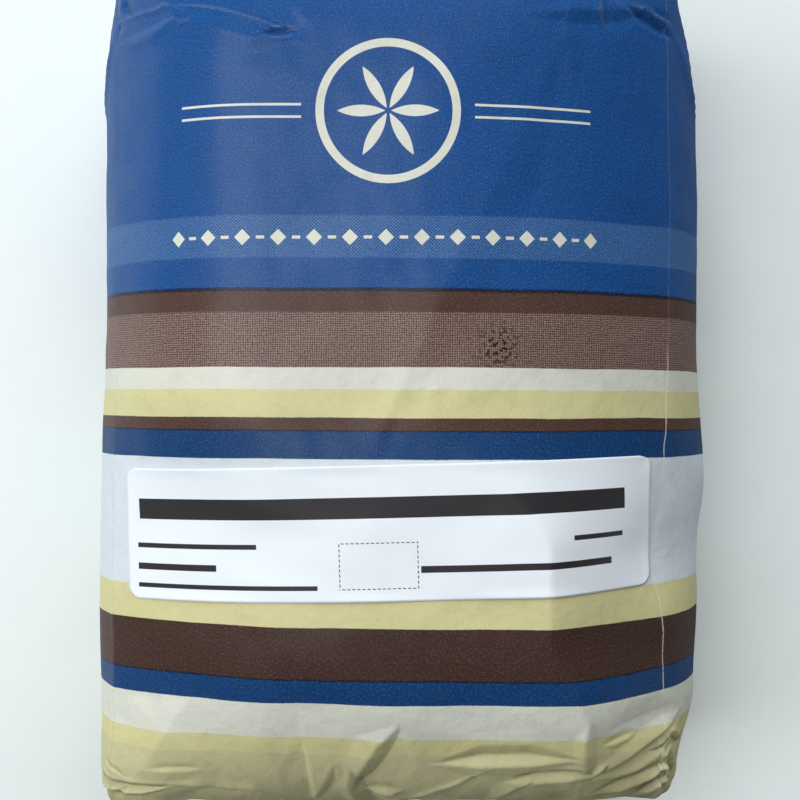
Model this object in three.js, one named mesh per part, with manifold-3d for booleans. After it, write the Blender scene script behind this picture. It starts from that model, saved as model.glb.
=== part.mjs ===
// A one-kilogram printed paper bag of rye grain, shut at both ends, lying on its back, and the
// paper sticker on its front. Millimetres. +Z is up, +Y points to the bag's top end, and +X is to
// the right when the front is read. The origin is the middle of the patch that the bag lies on.
import * as THREE from 'three';
import Module from 'manifold-3d';

// ---- Driving dimensions, mm ----
const END_Y = 81.5;             // the end faces at their fullest, before the folded layers on them
const FOLD_STACK = 1;           // thickness of the folded layers glued on each end
const CREST_Z = 79.3;           // top of the bulging front
const CREASE_Z = 61;            // height of the two front creases at mid-length
const CREASE_DROP_TOP = 4;      // how much lower the front creases are at the ends
const CREASE_DROP_BOTTOM = 7;
const CREASE_LEFT = 54.4;       // the left front crease, out from the middle of the upper half
const CREASE_RIGHT = 50.3;      // the right front crease, likewise
const CREASE_LEFT_SHIFT = 1;    // how much further left each of them lies in the lower half
const CREASE_RIGHT_SHIFT = 0.9;
const SHIFT_FROM = 20;          // the shift starts this far above mid-length
const SHIFT_LEFT_TO = -40;      // and is complete here
const SHIFT_RIGHT_TO = -20;
const DENT_Y = -31;             // the dent in the right front crease
const DENT_DEPTH = 2.4;
const DENT_WIDTH = 9;
const CROWN_LEFT_TOP = -24;     // the level crown of the front, between these two in the upper half
const CROWN_RIGHT_TOP = 2;
const CROWN_LEFT_BOTTOM = -2;   // and between these two in the lower half
const CROWN_RIGHT_BOTTOM = 26;
const CROWN_LOWER_Y = -30;      // from mid-length to here the one crown passes into the other
const CROWN_RIGHT_SPREAD = 7;   // how much further right still it reaches near the bottom end
const SPREAD_FROM = -45;        // it spreads between these two
const SPREAD_TO = -62;
const FALL_POWER_LEFT = 2.4;    // how late the front falls away from its crown to each crease
const FALL_POWER_RIGHT_TOP = 2.3;
const FALL_POWER_RIGHT_BOTTOM = 1.25;
const BACK_CREASE_X = 54.5;     // the back creases, out from the middle
const BACK_CREASE_Z = 5;        // the back creases, up from the table
const REST_HALF_X = 40;         // the flat patch that the bag lies on
const REST_HALF_Y = 66;
const BACK_END_RISE = 3;        // how far the back rises from the table towards each end
const SIDE_BULGE_LEFT = 5.85;   // how far the grain pushes out each side panel
const SIDE_BULGE_RIGHT = 7.9;
const SIDE_LIFT_POWER = 0.85;   // under 1, it lifts the fullest line of a side panel above its middle
const SIDE_BELLY_Y = -24;       // the right one swells further below the middle
const SIDE_BELLY_DEPTH = 2.4;
const SIDE_BELLY_WIDTH = 20;
const TOP_DRAW_IN_LEFT = 1;     // how much less each bulges at the top end
const TOP_DRAW_IN_RIGHT = 1.4;
const DRAW_IN_LEFT_Y = 60;      // where each starts to be drawn in
const DRAW_IN_RIGHT_Y = 50;
const CORNER_CRUSH = 3.2;       // how much less the right one bulges at its crushed bottom corner
const CRUSH_FROM = -61;         // which is crushed more and more between these two
const CRUSH_TO = -77;
const GUSSET_DEPTH_LEFT = 4.6;  // how deep each side panel is tucked in at the folded top end
const GUSSET_DEPTH_RIGHT = 6.6;
const GUSSET_START_Y = 44;      // where the tuck's two slanting folds meet on the side panel
const SHOULDER_POWER_TOP = 16;  // how late the bulge of the front falls away towards the ends
const SHOULDER_POWER_BOTTOM = 5.5;
const FOLD_FADE_POWER = 6;      // how late the folds of the front fade out towards the creases
const EDGE_RADIUS = 1.6;        // round of the edge between the panels and an end face
const END_BULGE = 2;            // how far the grain pushes out an end face
const END_BULGE_POWER = 2.5;    // how late that bulge falls away towards the edges of the face
const END_MID_Z = 30;           // height of the middle of an end face
const SEAM_HALF = 27;           // half the ridge line where the front and back flaps meet

const FLAP_OVERLAP = 9;         // how far each bottom flap runs past the middle
const FLAP_HALF_BASE = 50;      // half the flap's fold line
const FLAP_START = 24;          // from the middle of the end face to a flap's fold line
const FIN_HALF_WIDTH = 52;      // the flattened top, folded over and glued down
const FIN_HEIGHT = 22;
const LAYER_ROOT = 1;           // how deep each folded layer is rooted in the bag

const STICKER_WIDTH = 98;       // across the bag, before it follows the bulge
const STICKER_HEIGHT = 24.4;
const STICKER_CORNER = 2.3;
const STICKER_X = -2.7;         // its middle
const STICKER_Y = -26.2;
const STICKER_TURN = THREE.MathUtils.degToRad(1.4);
const STICKER_THICKNESS = 0.4;
const STICKER_GAP = 0.3;

// ---- Fineness of the grids ----
const FRONT_COLUMNS = 22;       // the back has as many, because both meet on the ridge line
const SIDE_COLUMNS = 10;        // even, so that a column runs down the fold in the middle
const TUBE_STEPS = 30;
const EVEN_SPACING = 0.6;       // of 1; the rest of the way the steps crowd towards the ends
const EDGE_STEPS = 3;
const FACE_RINGS = 4;
const LAYER_STEPS = [10, 5];    // across and along a folded layer
const STICKER_STEPS = [28, 12];

const { mapLinear, lerp, clamp, smoothstep } = THREE.MathUtils;

/** A hill of height 1 at distance 0 that has fallen away at about twice the width. */
const hill = (distance, width) => Math.exp(-((distance / width) ** 2));

/** Distance in the plane from (x, y) to the stretch between two points. */
function distanceToStretch(x, y, [x0, y0], [x1, y1]) {
  const along = ((x - x0) * (x1 - x0) + (y - y0) * (y1 - y0)) / ((x1 - x0) ** 2 + (y1 - y0) ** 2);
  const t = clamp(along, 0, 1);
  return Math.hypot(x - lerp(x0, x1, t), y - lerp(y0, y1, t));
}

// The deeper folds of the front near its ends: a stretch, its depth (minus for a ridge) and width.
const FRONT_FOLDS = [
  { from: [-3, -66], to: [-8.6, -76], depth: 1.7, width: 3.2 },
  { from: [34.5, -73.2], to: [55, -65], depth: 1.6, width: 2.6 },
  { from: [9, -71.6], to: [29, -70.8], depth: -0.9, width: 2.4 },
  { from: [19.3, -75], to: [35, -74], depth: -0.9, width: 2 },
  { from: [38, -77.4], to: [51, -71], depth: -0.9, width: 2.6 },
  { from: [-55, -74.7], to: [-42.5, -74.7], depth: 1, width: 1.6 },
  { from: [-52, 72], to: [-26, 71], depth: 1.4, width: 3 },
  { from: [46, 70], to: [52, 66], depth: 1.6, width: 3 },
];

/** How deep the folds pull in the front at (x, y). */
function foldDepth(x, y) {
  const depths = FRONT_FOLDS.map((f) => f.depth * hill(distanceToStretch(x, y, f.from, f.to), f.width));
  return depths.reduce((sum, depth) => sum + depth, 0);
}

/** The front crease on one side (-1 left, 1 right) at y. The right one is dented below the middle. */
function frontCrease(side, y) {
  const drop = y < 0 ? CREASE_DROP_BOTTOM : CREASE_DROP_TOP;
  const z = CREASE_Z - drop * Math.abs(y / END_Y) ** 4;
  if (side < 0) {
    return { x: -CREASE_LEFT - CREASE_LEFT_SHIFT * smoothstep(-y, -SHIFT_FROM, -SHIFT_LEFT_TO), z };
  }
  const dent = DENT_DEPTH * hill(y - DENT_Y, DENT_WIDTH);
  const shift = CREASE_RIGHT_SHIFT * smoothstep(-y, -SHIFT_FROM, -SHIFT_RIGHT_TO);
  return { x: CREASE_RIGHT - shift - dent, z };
}

/** Height of the front at (x, y): a crown between the creases. In the lower half the flat of the
    crown reaches further right and then falls steeply to the right crease. */
function frontHeight(x, y) {
  const left = frontCrease(-1, y);
  const right = frontCrease(1, y);
  const lower = smoothstep(-y, 0, -CROWN_LOWER_Y);
  const crownLeft = lerp(CROWN_LEFT_TOP, CROWN_LEFT_BOTTOM, lower);
  const spread = CROWN_RIGHT_SPREAD * smoothstep(-y, -SPREAD_FROM, -SPREAD_TO);
  const crownRight = lerp(CROWN_RIGHT_TOP, CROWN_RIGHT_BOTTOM, lower) + spread;
  const rightPower = lerp(FALL_POWER_RIGHT_TOP, FALL_POWER_RIGHT_BOTTOM, lower);
  const leftShare = clamp((crownLeft - x) / (crownLeft - left.x), 0, 1);
  const rightShare = clamp((x - crownRight) / (right.x - crownRight), 0, 1);
  const fall = leftShare ** FALL_POWER_LEFT + rightShare ** rightPower;
  const power = y < 0 ? SHOULDER_POWER_BOTTOM : SHOULDER_POWER_TOP;
  const swell = 1 - Math.min(1, Math.abs(y / END_Y)) ** power;
  const inside = 1 - Math.max(leftShare, rightShare) ** FOLD_FADE_POWER;
  return left.z + (CREST_Z - left.z) * swell * (1 - fall) - foldDepth(x, y) * inside;
}

/** How far a side panel bulges at y. */
function sideBulge(side, y) {
  if (side < 0) {
    return SIDE_BULGE_LEFT - TOP_DRAW_IN_LEFT * smoothstep(y, DRAW_IN_LEFT_Y, END_Y);
  }
  const belly = SIDE_BELLY_DEPTH * hill(y - SIDE_BELLY_Y, SIDE_BELLY_WIDTH);
  const drawnIn = TOP_DRAW_IN_RIGHT * smoothstep(y, DRAW_IN_RIGHT_Y, END_Y);
  const crushedIn = CORNER_CRUSH * smoothstep(-y, -CRUSH_FROM, -CRUSH_TO);
  return SIDE_BULGE_RIGHT + belly - drawnIn - crushedIn;
}

/** How far a side panel is tucked in: from two slanting folds, which run from the top corners down
    to the middle of the panel, it slopes straight in towards the top end. */
function gussetTuck(side, share, y) {
  const along = Math.max(0, y - GUSSET_START_Y) / (END_Y - GUSSET_START_Y);
  const depth = side < 0 ? GUSSET_DEPTH_LEFT : GUSSET_DEPTH_RIGHT;
  return depth * Math.max(0, along - Math.abs(2 * share - 1));
}

/** A point of a side panel at y, from the front crease (share 0) to the back crease (share 1). The
    panel is fullest a little above the middle of its height. */
function sidePoint(side, share, y) {
  const crease = frontCrease(side, y);
  const bulge = sideBulge(side, y) * Math.sin(Math.PI * share ** SIDE_LIFT_POWER);
  const push = bulge - gussetTuck(side, share, y);
  const x = lerp(crease.x, side * BACK_CREASE_X, share) + side * push;
  return { x, z: lerp(crease.z, backHeight(BACK_CREASE_X, y), share) };
}

/** Height of the back at (x, y): flat on the table, rising to its creases and ends. */
function backHeight(x, y) {
  const acrossShare = clamp((Math.abs(x) - REST_HALF_X) / (BACK_CREASE_X - REST_HALF_X), 0, 1);
  const alongShare = clamp((Math.abs(y) - REST_HALF_Y) / (END_Y - REST_HALF_Y), 0, 1);
  return BACK_CREASE_Z * acrossShare ** 2 + BACK_END_RISE * alongShare ** 2;
}

/** One closed loop round the bag at y, clockwise as seen from its top end: front, right, back, left.
    Each point carries the place on the ridge line of an end face that it would shrink to. */
function sectionLoop(y) {
  const loop = [];
  const left = frontCrease(-1, y);
  const right = frontCrease(1, y);
  for (let i = 0; i < FRONT_COLUMNS; i += 1) {
    const x = lerp(left.x, right.x, i / FRONT_COLUMNS);
    loop.push({ x, z: frontHeight(x, y), ridge: i });
  }
  for (let i = 0; i < SIDE_COLUMNS; i += 1) {
    loop.push({ ...sidePoint(1, i / SIDE_COLUMNS, y), ridge: FRONT_COLUMNS });
  }
  for (let i = 0; i < FRONT_COLUMNS; i += 1) {
    const x = lerp(BACK_CREASE_X, -BACK_CREASE_X, i / FRONT_COLUMNS);
    loop.push({ x, z: backHeight(x, y), ridge: FRONT_COLUMNS - i });
  }
  for (let i = 0; i < SIDE_COLUMNS; i += 1) {
    loop.push({ ...sidePoint(-1, 1 - i / SIDE_COLUMNS, y), ridge: 0 });
  }
  return loop;
}

/** X of a place on the ridge line. */
const ridgeX = (ridge) => mapLinear(ridge, 0, FRONT_COLUMNS, -SEAM_HALF, SEAM_HALF);

/** How far an end face stands out at (x, z), from its edge plane. */
function faceBulge(x, z) {
  const across = 1 - Math.min(1, Math.abs(x) / CREASE_LEFT) ** END_BULGE_POWER;
  const upright = 1 - Math.min(1, Math.abs(z - END_MID_Z) / END_MID_Z) ** END_BULGE_POWER;
  return END_BULGE * across * upright;
}

/** The rings of points of one end (-1 bottom, 1 top), from the round edge in to the ridge line. */
function endRings(end) {
  const edgeY = END_Y - END_BULGE;
  const rings = [];
  for (let step = 1; step <= EDGE_STEPS; step += 1) {
    const turn = (Math.PI / 2) * (step / EDGE_STEPS);
    const y = edgeY - EDGE_RADIUS + EDGE_RADIUS * Math.sin(turn);
    const inset = EDGE_RADIUS * (1 - Math.cos(turn));
    rings.push(sectionLoop(end * y).map((p) => {
      const reach = Math.hypot(ridgeX(p.ridge) - p.x, END_MID_Z - p.z);
      return insetPoint(p, inset / reach, end * y);
    }));
  }
  const edge = rings[EDGE_STEPS - 1];
  for (let ring = 1; ring < FACE_RINGS; ring += 1) {
    rings.push(edge.map((p) => {
      const q = insetPoint(p, ring / FACE_RINGS, 0);
      return { ...q, y: end * (edgeY + faceBulge(q.x, q.z)) };
    }));
  }
  return rings;
}

/** A point moved by a share of the way to its place on the ridge line. */
function insetPoint(p, share, y) {
  return { x: lerp(p.x, ridgeX(p.ridge), share), y, z: lerp(p.z, END_MID_Z, share), ridge: p.ridge };
}

/** The bag without the folded layers on its ends, as one closed geometry. */
function bagBody() {
  const tubeEnd = END_Y - END_BULGE - EDGE_RADIUS;
  const rings = endRings(-1).reverse();
  for (let i = 0; i <= TUBE_STEPS; i += 1) {
    const t = mapLinear(i, 0, TUBE_STEPS, -1, 1);
    const y = tubeEnd * lerp(Math.sin((t * Math.PI) / 2), t, EVEN_SPACING);
    rings.push(sectionLoop(y).map((p) => ({ ...p, y })));
  }
  rings.push(...endRings(1));

  const columns = rings[0].length;
  const positions = rings.flatMap((ring) => ring.flatMap((p) => [p.x, p.y, p.z]));
  const ridgeStart = [-1, 1].map((end) => {
    const start = positions.length / 3;
    for (let i = 0; i <= FRONT_COLUMNS; i += 1) {
      const y = end * (END_Y - END_BULGE + faceBulge(ridgeX(i), END_MID_Z));
      positions.push(ridgeX(i), y, END_MID_Z);
    }
    return start;
  });

  const at = (ring, column) => {
    const c = column % columns;
    if (ring < 0) {
      return ridgeStart[0] + rings[0][c].ridge;
    }
    return ring < rings.length ? ring * columns + c : ridgeStart[1] + rings[0][c].ridge;
  };
  return gridGeometry(positions, at, -1, rings.length, columns);
}

/** Closed geometry from the quads of a grid of point numbers. A quad of which one side has shrunk
    to a point gives one triangle. */
function gridGeometry(positions, at, firstRow, lastRow, columns) {
  const index = [];
  const addTriangle = (a, b, c) => {
    if (a !== b && b !== c && c !== a) {
      index.push(a, b, c);
    }
  };
  for (let row = firstRow; row < lastRow; row += 1) {
    for (let c = 0; c < columns; c += 1) {
      addTriangle(at(row, c), at(row, c + 1), at(row + 1, c + 1));
      addTriangle(at(row, c), at(row + 1, c + 1), at(row + 1, c));
    }
  }
  const geometry = new THREE.BufferGeometry();
  geometry.setAttribute('position', new THREE.Float32BufferAttribute(positions, 3));
  geometry.setIndex(index);
  return geometry;
}

/** A closed sheet between an outer and an inner surface, each a function of (u, v) from 0 to 1,
    as rings that run round its section: out over the outer surface and back along the inner one. */
function sheetGeometry(outer, inner, uSteps, vSteps) {
  const columns = 2 * (uSteps + 1);
  const positions = [];
  for (let j = 0; j <= vSteps; j += 1) {
    for (let i = 0; i <= uSteps; i += 1) {
      positions.push(...outer(i / uSteps, j / vSteps));
    }
    for (let i = uSteps; i >= 0; i -= 1) {
      positions.push(...inner(i / uSteps, j / vSteps));
    }
  }
  const at = (row, column) => row * columns + (column % columns);
  const geometry = gridGeometry(positions, at, 0, vSteps, columns);
  const index = [...geometry.getIndex().array];
  for (let i = 0; i < uSteps; i += 1) {
    const back = columns - 1 - i;
    index.push(at(0, i), at(0, back), at(0, back - 1), at(0, i), at(0, back - 1), at(0, i + 1));
    index.push(at(vSteps, i), at(vSteps, back - 1), at(vSteps, back));
    index.push(at(vSteps, i), at(vSteps, i + 1), at(vSteps, back - 1));
  }
  geometry.setIndex(index);
  return geometry;
}

/** A folded layer on an end face: a strip from height z0 to z1, narrowing from halfBase to halfTop,
    that stands out by the given thickness. */
function endLayer(end, z0, z1, halfBase, halfTop, thickness) {
  const surface = (out) => (u, v) => {
    const z = lerp(z0, z1, v);
    const x = (2 * u - 1) * lerp(halfBase, halfTop, v);
    return [x, end * (END_Y - END_BULGE + faceBulge(x, z) + out), z];
  };
  const geometry = sheetGeometry(surface(thickness), surface(-LAYER_ROOT), ...LAYER_STEPS);
  return end * (z1 - z0) > 0 ? flipped(geometry) : geometry;
}

/** The same geometry with its faces turned to point the other way. */
function flipped(geometry) {
  const index = [...geometry.getIndex().array];
  geometry.setIndex(index.map((value, i) => index[i - (i % 3) + 2 - (i % 3)]));
  return geometry;
}

/** Bottom: the front flap is folded in first and the back flap is glued over it. */
function bottomLayers() {
  const reach = FLAP_START + FLAP_OVERLAP;
  const halfTop = FLAP_HALF_BASE - reach;
  const front = [END_MID_Z + FLAP_START, END_MID_Z - FLAP_OVERLAP];
  const back = [END_MID_Z - FLAP_START, END_MID_Z + FLAP_OVERLAP];
  return [
    endLayer(-1, ...front, FLAP_HALF_BASE, halfTop, FOLD_STACK * 0.5),
    endLayer(-1, ...back, FLAP_HALF_BASE, halfTop, FOLD_STACK),
  ];
}

/** Top: the flattened mouth, folded down towards the back and glued. */
function topLayers() {
  return [endLayer(1, END_MID_Z, END_MID_Z - FIN_HEIGHT, FIN_HALF_WIDTH, FIN_HALF_WIDTH, FOLD_STACK)];
}

const wasm = await Module();
wasm.setup();

/** A closed geometry as a solid for joining. */
function toSolid(geometry) {
  const vertProperties = Float32Array.from(geometry.getAttribute('position').array);
  const triVerts = Uint32Array.from(geometry.getIndex().array);
  return new wasm.Manifold(new wasm.Mesh({ numProp: 3, vertProperties, triVerts }));
}

/** Several closed geometries that overlap, joined into one. */
function joined(geometries) {
  const solid = geometries.map(toSolid).reduce((sum, next) => sum.add(next));
  const { vertProperties, triVerts } = solid.getMesh();
  const geometry = new THREE.BufferGeometry();
  geometry.setAttribute('position', new THREE.BufferAttribute(vertProperties, 3));
  geometry.setIndex(new THREE.BufferAttribute(triVerts, 1));
  geometry.computeVertexNormals();
  return geometry;
}

/** The sticker: a thin sheet with round corners that follows the front of the bag. */
function stickerGeometry() {
  const halfHeight = STICKER_HEIGHT / 2;
  const surface = (lift) => (u, v) => {
    const b = (2 * v - 1) * halfHeight;
    const intoCorner = Math.max(0, Math.abs(b) - (halfHeight - STICKER_CORNER));
    const cut = STICKER_CORNER - Math.sqrt(Math.max(0, STICKER_CORNER ** 2 - intoCorner ** 2));
    const a = (2 * u - 1) * (STICKER_WIDTH / 2 - cut);
    const x = STICKER_X + a * Math.cos(STICKER_TURN) - b * Math.sin(STICKER_TURN);
    const y = STICKER_Y + a * Math.sin(STICKER_TURN) + b * Math.cos(STICKER_TURN);
    return [x, y, frontHeight(x, y) + lift];
  };
  const top = surface(STICKER_GAP + STICKER_THICKNESS);
  return sheetGeometry(top, surface(STICKER_GAP), ...STICKER_STEPS);
}

/** A named mesh with its own material. */
function piece(name, geometry, color, roughness) {
  const material = new THREE.MeshStandardMaterial({ color, roughness, metalness: 0 });
  const mesh = new THREE.Mesh(geometry, material);
  mesh.name = name;
  return mesh;
}

const bag = joined([bagBody(), ...bottomLayers(), ...topLayers()]);
const bagOfRye = new THREE.Group();
bagOfRye.add(piece('bag', bag, 0x2f5487, 0.55));
bagOfRye.add(piece('label', stickerGeometry(), 0xdfe9f2, 0.45));

export default bagOfRye;
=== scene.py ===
"""A one-kilogram paper bag of rye grain, lying on its back, seen from straight above.

Lengths are worked out in millimetres and become metres where a mesh is made. X runs to the right
of the bag's front, Y to its folded top end, and Z up from the table.
"""

import math

import bpy
import numpy as np
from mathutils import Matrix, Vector


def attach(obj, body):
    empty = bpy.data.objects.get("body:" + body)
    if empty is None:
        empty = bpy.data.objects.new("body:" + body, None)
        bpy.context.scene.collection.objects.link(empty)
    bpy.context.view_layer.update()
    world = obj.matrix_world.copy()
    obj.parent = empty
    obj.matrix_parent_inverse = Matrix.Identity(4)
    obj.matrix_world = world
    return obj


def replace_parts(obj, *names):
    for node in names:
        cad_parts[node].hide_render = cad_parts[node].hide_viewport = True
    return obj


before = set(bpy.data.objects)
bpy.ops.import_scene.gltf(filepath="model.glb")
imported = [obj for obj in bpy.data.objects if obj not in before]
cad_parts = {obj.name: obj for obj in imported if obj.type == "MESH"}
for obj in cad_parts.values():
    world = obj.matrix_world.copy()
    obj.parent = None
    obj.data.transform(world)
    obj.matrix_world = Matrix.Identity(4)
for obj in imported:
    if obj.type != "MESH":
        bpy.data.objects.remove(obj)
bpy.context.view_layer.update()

# ---- The filled bag: its shape ----
# One ply of printed paper, glued to a tube up the back and folded to a block at both ends. The
# grain pushes the front out between two crisp creases; in the lower half the bulge leans right.
# The ends are crumpled where they were folded and where the bag was set down.

MM = 0.001
END_Y = 81.5                      # the end faces at their fullest
END_BULGE = 2.0
EDGE_Y = END_Y - END_BULGE        # the end faces at their edges
EDGE_RADIUS = 1.6
END_MID_Z = 30.0
RIDGE_HALF = 27.0                 # half the line on an end face where front and back meet
CREST_Z = 79.3
CREASE_Z = 61.0
CREASE_DROP_TOP = 4.0
CREASE_DROP_BOTTOM = 7.0
CREASE_LEFT = 54.4                # both front creases in the upper half, out from the middle
CREASE_RIGHT = 50.3
CREASE_LEFT_SHIFT = 1.0           # how much further left each of them lies in the lower half
CREASE_RIGHT_SHIFT = 0.9
SHIFT_FROM = 20.0                 # the shift starts here and is complete at the next two
SHIFT_LEFT_TO = -40.0
SHIFT_RIGHT_TO = -20.0
DENT_Y = -31.0                    # the dent in the right crease
DENT_DEPTH = 2.4
DENT_WIDTH = 9.0
CROWN_TOP = (-24.0, 2.0)          # the level crown of the front in the upper half, left to right
CROWN_BOTTOM = (-2.0, 26.0)       # and in the lower half
CROWN_LOWER_Y = -30.0             # from mid-length to here the one passes into the other
CROWN_SPREAD = 7.0                # how much further right it reaches near the bottom end
SPREAD_FROM = -45.0               # it spreads between these two
SPREAD_TO = -62.0
FALL_POWER_LEFT = 2.4             # how late the front falls away from its crown to each crease
FALL_POWER_RIGHT_TOP = 2.3
FALL_POWER_RIGHT_BOTTOM = 1.25
BACK_CREASE_X = 54.5
BACK_CREASE_Z = 5.0
BACK_END_RISE = 3.0
REST_HALF_X = 40.0                # the flat patch that the bag lies on
REST_HALF_Y = 66.0
SHOULDER_POWER_TOP = 16
SHOULDER_POWER_BOTTOM = 5.5
SIDE_BULGE_LEFT = 5.85
SIDE_BULGE_RIGHT = 7.9
SIDE_LIFT_POWER = 0.85            # under 1, it lifts the fullest line of a side panel
SIDE_BELLY_Y = -24.0              # where the right one swells further
SIDE_BELLY_DEPTH = 2.4
SIDE_BELLY_WIDTH = 20.0
TOP_DRAW_IN_LEFT = 1.0            # how much less each bulges at the top end
TOP_DRAW_IN_RIGHT = 1.4
DRAW_IN_LEFT_Y = 60.0             # where each starts to be drawn in
DRAW_IN_RIGHT_Y = 50.0
CORNER_CRUSH = 3.2                # how much less the right one bulges at its bottom corner
CRUSH_FROM = -61.0                # which is crushed more and more between these two
CRUSH_TO = -77.0
END_BULGE_POWER = 2.5
GUSSET_DEPTH_LEFT = 4.6
GUSSET_DEPTH_RIGHT = 6.6
GUSSET_START_Y = 44.0


def ease(value, low, high):
    """0 below low, 1 above high and an S between: three t squared less two t cubed."""
    t = np.clip((value - low) / (high - low), 0, 1)
    return t * t * (3 - 2 * t)


def hill(distance, width):
    """1 at no distance, falling away as e to minus the square of distance over width."""
    return np.exp(-((distance / width) ** 2))


def blend(a, b, share):
    """a at share 0, b at share 1, straight between."""
    return a + (b - a) * share


def crease_height(y):
    """Height of both front creases: level, then lower by the fourth power towards the ends."""
    drop = np.where(y < 0, CREASE_DROP_BOTTOM, CREASE_DROP_TOP)
    return CREASE_Z - drop * np.abs(y / END_Y) ** 4


def crease_left(y):
    """X of the left front crease, a little further out in the lower half."""
    return -CREASE_LEFT - CREASE_LEFT_SHIFT * ease(-y, -SHIFT_FROM, -SHIFT_LEFT_TO)


def crease_right(y):
    """X of the right front crease, a little further in below, with a dent below the middle."""
    shift = CREASE_RIGHT_SHIFT * ease(-y, -SHIFT_FROM, -SHIFT_RIGHT_TO)
    return CREASE_RIGHT - shift - DENT_DEPTH * hill(y - DENT_Y, DENT_WIDTH)


def front_height(x, y):
    """Height of the front: the crest less a power of the way from a level crown to each crease.
    In the lower half the crown lies further right, and its right side falls almost straight."""
    left, right, low = crease_left(y), crease_right(y), crease_height(y)
    lower = ease(-y, 0, -CROWN_LOWER_Y)
    spread = CROWN_SPREAD * ease(-y, -SPREAD_FROM, -SPREAD_TO)
    crown_left = blend(CROWN_TOP[0], CROWN_BOTTOM[0], lower)
    crown_right = blend(CROWN_TOP[1], CROWN_BOTTOM[1], lower) + spread
    left_share = np.clip((crown_left - x) / (crown_left - left), 0, 1)
    right_share = np.clip((x - crown_right) / (right - crown_right), 0, 1)
    right_power = blend(FALL_POWER_RIGHT_TOP, FALL_POWER_RIGHT_BOTTOM, lower)
    fall = left_share**FALL_POWER_LEFT + right_share**right_power
    power = np.where(y < 0, SHOULDER_POWER_BOTTOM, SHOULDER_POWER_TOP)
    swell = 1 - np.minimum(1, np.abs(y / END_Y)) ** power
    return low + (CREST_Z - low) * swell * (1 - fall)


def back_height(x, y):
    """Height of the back: nought on the table, rising as a square to its creases and ends."""
    across = np.clip((np.abs(x) - REST_HALF_X) / (BACK_CREASE_X - REST_HALF_X), 0, 1)
    along = np.clip((np.abs(y) - REST_HALF_Y) / (END_Y - REST_HALF_Y), 0, 1)
    return BACK_CREASE_Z * across**2 + BACK_END_RISE * along**2


def side_bulge(side, y):
    """How far a side panel is pushed out: less at the top, and least in the crushed right corner."""
    if side < 0:
        return SIDE_BULGE_LEFT - TOP_DRAW_IN_LEFT * ease(y, DRAW_IN_LEFT_Y, END_Y)
    belly = SIDE_BELLY_DEPTH * hill(y - SIDE_BELLY_Y, SIDE_BELLY_WIDTH)
    drawn_in = TOP_DRAW_IN_RIGHT * ease(y, DRAW_IN_RIGHT_Y, END_Y)
    crushed_in = CORNER_CRUSH * ease(-y, -CRUSH_FROM, -CRUSH_TO)
    return SIDE_BULGE_RIGHT + belly - drawn_in - crushed_in


def gusset_tuck(side, share, y):
    """How far a side panel is tucked in: from two slanting folds, which run from the top corners
    down to the middle of the panel, it slopes straight in towards the top end."""
    along = np.maximum(0, y - GUSSET_START_Y) / (END_Y - GUSSET_START_Y)
    depth = GUSSET_DEPTH_LEFT if side < 0 else GUSSET_DEPTH_RIGHT
    return depth * np.maximum(0, along - np.abs(2 * share - 1))


def side_point(side, share, y):
    """X and Z of a side panel, from the front crease at share 0 to the back crease at share 1:
    a straight line between the two, plus the bulge times a sine that peaks above the middle."""
    crease = crease_left(y) if side < 0 else crease_right(y)
    bulge = side_bulge(side, y) * np.sin(np.pi * share**SIDE_LIFT_POWER)
    push = bulge - gusset_tuck(side, share, y)
    x = blend(crease, side * BACK_CREASE_X, share) + side * push
    return x, blend(crease_height(y), back_height(BACK_CREASE_X, y), share)


BACK_COLUMNS = 88
FRONT_PER_BACK = 3
FRONT_COLUMNS = BACK_COLUMNS * FRONT_PER_BACK
SIDE_COLUMNS = 40
SIDE_CROWDING = 0.7               # how much the side's columns crowd towards its two creases


def section(y):
    """Loops round the bag at the given y, a column vector: x, z, the x at which each column meets
    the ridge line of an end, and the share of its side panel (minus 1 on front and back)."""
    front = np.arange(FRONT_COLUMNS) / FRONT_COLUMNS
    back = np.arange(BACK_COLUMNS) / BACK_COLUMNS
    down = np.arange(SIDE_COLUMNS) / SIDE_COLUMNS
    down = blend(down, 0.5 - 0.5 * np.cos(np.pi * down), SIDE_CROWDING)
    front_x = blend(crease_left(y), crease_right(y), front)
    back_x = blend(BACK_CREASE_X, -BACK_CREASE_X, back) + 0 * y
    right_x, right_z = side_point(1, down, y)
    left_x, left_z = side_point(-1, 1 - down, y)
    x = np.concatenate([front_x, right_x, back_x, left_x], 1)
    z = np.concatenate([front_height(front_x, y), right_z, back_height(back_x, y), left_z], 1)
    step = np.floor(np.arange(FRONT_COLUMNS) / FRONT_PER_BACK) / BACK_COLUMNS
    ridge = np.concatenate([2 * step - 1, 0 * down + 1, 1 - 2 * back, 0 * down - 1]) * RIDGE_HALF
    share = np.concatenate([0 * front - 1, down, 0 * back - 1, 1 - down])
    return x, z, ridge, share


def face_bulge(x, z):
    """How far an end face stands out: full in the middle, nought at its edges."""
    across = 1 - np.minimum(1, np.abs(x) / CREASE_LEFT) ** END_BULGE_POWER
    upright = 1 - np.minimum(1, np.abs(z - END_MID_Z) / END_MID_Z) ** END_BULGE_POWER
    return END_BULGE * across * upright


EDGE_STEPS = 5
FACE_STEPS = 12
TUBE_END = EDGE_Y - EDGE_RADIUS
# The rows along the tube: from, to and spacing, closest at the crumpled ends.
TUBE_ROWS = ((-TUBE_END, -58, 0.3), (-58, 52, 1.7), (52, 60, 0.8), (60, TUBE_END, 0.42))


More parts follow.
